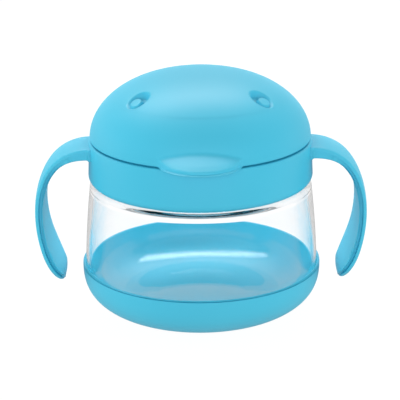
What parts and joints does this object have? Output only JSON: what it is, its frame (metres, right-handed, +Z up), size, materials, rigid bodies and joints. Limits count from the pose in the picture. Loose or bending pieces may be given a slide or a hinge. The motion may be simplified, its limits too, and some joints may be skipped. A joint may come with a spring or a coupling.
{
  "type": "toddler snack container",
  "caption": "Round snack container with a hinged dome lid, bird-face eyes and bill tab, two loop handles, clear cup, soft flap membrane and bowl base.",
  "frame": {"origin": "middle of the soft foot pad's underside, on the surface that the container stands on", "axes": "+Z up; the bill faces -Y and the hinge is at +Y; the handles lie along X"},
  "size_m": [0.1494, 0.1149, 0.1108],
  "materials": {
    "blue_plastic": "satin moulded polypropylene",
    "clear_plastic": "clear, polished",
    "soft_white": "matt silicone",
    "pin_steel": "bright drawn wire"
  },
  "bodies": {
    "vessel": {"base_shell": "blue_plastic", "foot_pad": "soft_white", "clear_cup": "clear_plastic"},
    "membrane": {"membrane_ring": "soft_white"},
    "collar": {"collar": "blue_plastic", "hinge_pin": "pin_steel"},
    "lid": {"lid": "blue_plastic", "lid_seal": "soft_white"},
    "flap_1": {"flap_1": "soft_white"},
    "flap_2": {"flap_2": "soft_white"},
    "flap_3": {"flap_3": "soft_white"},
    "flap_4": {"flap_4": "soft_white"},
    "flap_5": {"flap_5": "soft_white"},
    "flap_6": {"flap_6": "soft_white"},
    "flap_7": {"flap_7": "soft_white"},
    "flap_8": {"flap_8": "soft_white"}
  },
  "joints": [
    {"name": "collar_lift", "type": "slide", "parent": "vessel", "child": "membrane", "axis": [0, 0, 1], "range_m": [0, 0.018]},
    {"name": "collar_turn", "type": "hinge", "parent": "membrane", "child": "collar", "pos_m": [0, 0, 0.07], "axis": [0, 0, 1], "range_deg": [0, 540]},
    {"name": "lid_hinge", "type": "hinge", "parent": "collar", "child": "lid", "pos_m": [0, 0.053, 0.08025], "axis": [-1, 0, 0], "range_deg": [0, 115]},
    {"name": "flap_1_bend", "type": "hinge", "parent": "membrane", "child": "flap_1", "pos_m": [0.031, 0, 0.0756], "axis": [0, -1, 0], "range_deg": [-45, 65], "stiffness_Nm_per_rad": 0.004},
    {"name": "flap_2_bend", "type": "hinge", "parent": "membrane", "child": "flap_2", "pos_m": [0.02192, 0.02192, 0.0756], "axis": [0.7071, -0.7071, 0], "range_deg": [-45, 65], "stiffness_Nm_per_rad": 0.004},
    {"name": "flap_3_bend", "type": "hinge", "parent": "membrane", "child": "flap_3", "pos_m": [0, 0.031, 0.0756], "axis": [1, 0, 0], "range_deg": [-45, 65], "stiffness_Nm_per_rad": 0.004},
    {"name": "flap_4_bend", "type": "hinge", "parent": "membrane", "child": "flap_4", "pos_m": [-0.02192, 0.02192, 0.0756], "axis": [0.7071, 0.7071, 0], "range_deg": [-45, 65], "stiffness_Nm_per_rad": 0.004},
    {"name": "flap_5_bend", "type": "hinge", "parent": "membrane", "child": "flap_5", "pos_m": [-0.031, 0, 0.0756], "axis": [0, 1, 0], "range_deg": [-45, 65], "stiffness_Nm_per_rad": 0.004},
    {"name": "flap_6_bend", "type": "hinge", "parent": "membrane", "child": "flap_6", "pos_m": [-0.02192, -0.02192, 0.0756], "axis": [-0.7071, 0.7071, 0], "range_deg": [-45, 65], "stiffness_Nm_per_rad": 0.004},
    {"name": "flap_7_bend", "type": "hinge", "parent": "membrane", "child": "flap_7", "pos_m": [0, -0.031, 0.0756], "axis": [-1, 0, 0], "range_deg": [-45, 65], "stiffness_Nm_per_rad": 0.004},
    {"name": "flap_8_bend", "type": "hinge", "parent": "membrane", "child": "flap_8", "pos_m": [0.02192, -0.02192, 0.0756], "axis": [-0.7071, -0.7071, 0], "range_deg": [-45, 65], "stiffness_Nm_per_rad": 0.004}
  ],
  "couplings": [
    {"joint": "collar_lift", "follows": "collar_turn", "m_per_rad": 0.0019099},
    {"joint": "flap_2_bend", "follows": "flap_1_bend", "ratio": 1},
    {"joint": "flap_3_bend", "follows": "flap_1_bend", "ratio": 1},
    {"joint": "flap_4_bend", "follows": "flap_1_bend", "ratio": 1},
    {"joint": "flap_5_bend", "follows": "flap_1_bend", "ratio": 1},
    {"joint": "flap_6_bend", "follows": "flap_1_bend", "ratio": 1},
    {"joint": "flap_7_bend", "follows": "flap_1_bend", "ratio": 1},
    {"joint": "flap_8_bend", "follows": "flap_1_bend", "ratio": 1}
  ]
}
